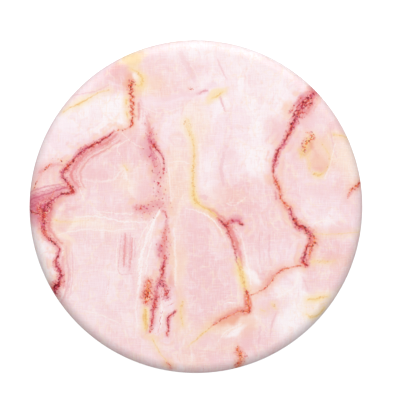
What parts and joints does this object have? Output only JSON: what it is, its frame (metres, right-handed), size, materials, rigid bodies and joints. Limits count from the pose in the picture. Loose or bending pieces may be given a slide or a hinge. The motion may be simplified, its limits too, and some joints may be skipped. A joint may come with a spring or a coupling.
{
  "type": "collapsible phone grip",
  "caption": "Round collapsible phone grip: a marble-print disc that turns to unlock from an accordion neck, which pulls out from a stick-on base.",
  "frame": {"origin": "centre of the adhesive gel's lower face, which sticks to the back of a phone", "axes": "+Z points away from the phone, out through the middle of the printed disc, and is the line that the folds slide along and the top turns about; +Y is the top of the printed pattern"},
  "size_m": [0.04, 0.04, 0.0066],
  "materials": {
    "printed_cap": "satin gloss plastic printed with pink marble, wrapped over the rim",
    "lock_plastic": "moulded, fine matt",
    "shell_plastic": "moulded, satin",
    "accordion_rubber": "soft matt elastomer",
    "adhesive_gel": "smooth tacky gel",
    "adhesive_film": "thin glossy film",
    "adhesive_foam": "closed-cell foam tape"
  },
  "bodies": {
    "base": {"adhesive_gel_pad": "adhesive_gel", "adhesive_film": "adhesive_film", "adhesive_foam_tape": "adhesive_foam", "base_platform": "shell_plastic", "clamp_ring": "shell_plastic", "accordion_foot": "accordion_rubber", "fold_web_lower": "accordion_rubber"},
    "lower_tier": {"accordion_lower_tier": "accordion_rubber", "fold_web_middle": "accordion_rubber"},
    "middle_tier": {"accordion_middle_tier": "accordion_rubber", "fold_web_upper": "accordion_rubber"},
    "neck": {"accordion_neck": "accordion_rubber", "lock_collar": "lock_plastic"},
    "top": {"button_plate": "lock_plastic", "top_cap": "printed_cap"}
  },
  "joints": [
    {"name": "lower_fold_extend", "type": "slide", "parent": "base", "child": "lower_tier", "axis": [0, 0, 1], "range_m": [0, 0.0061], "deforming": ["fold_web_lower"]},
    {"name": "middle_fold_extend", "type": "slide", "parent": "lower_tier", "child": "middle_tier", "axis": [0, 0, 1], "range_m": [0, 0.0061], "deforming": ["fold_web_middle"]},
    {"name": "upper_fold_extend", "type": "slide", "parent": "middle_tier", "child": "neck", "axis": [0, 0, 1], "range_m": [0, 0.0061], "deforming": ["fold_web_upper"]},
    {"name": "top_turn", "type": "hinge", "parent": "neck", "child": "top", "pos_m": [0, 0, 0.0051], "axis": [0, 0, 1], "range_deg": [0, 90]}
  ],
  "couplings": [
    {"joint": "middle_fold_extend", "follows": "lower_fold_extend", "ratio": 1},
    {"joint": "upper_fold_extend", "follows": "lower_fold_extend", "ratio": 1}
  ]
}
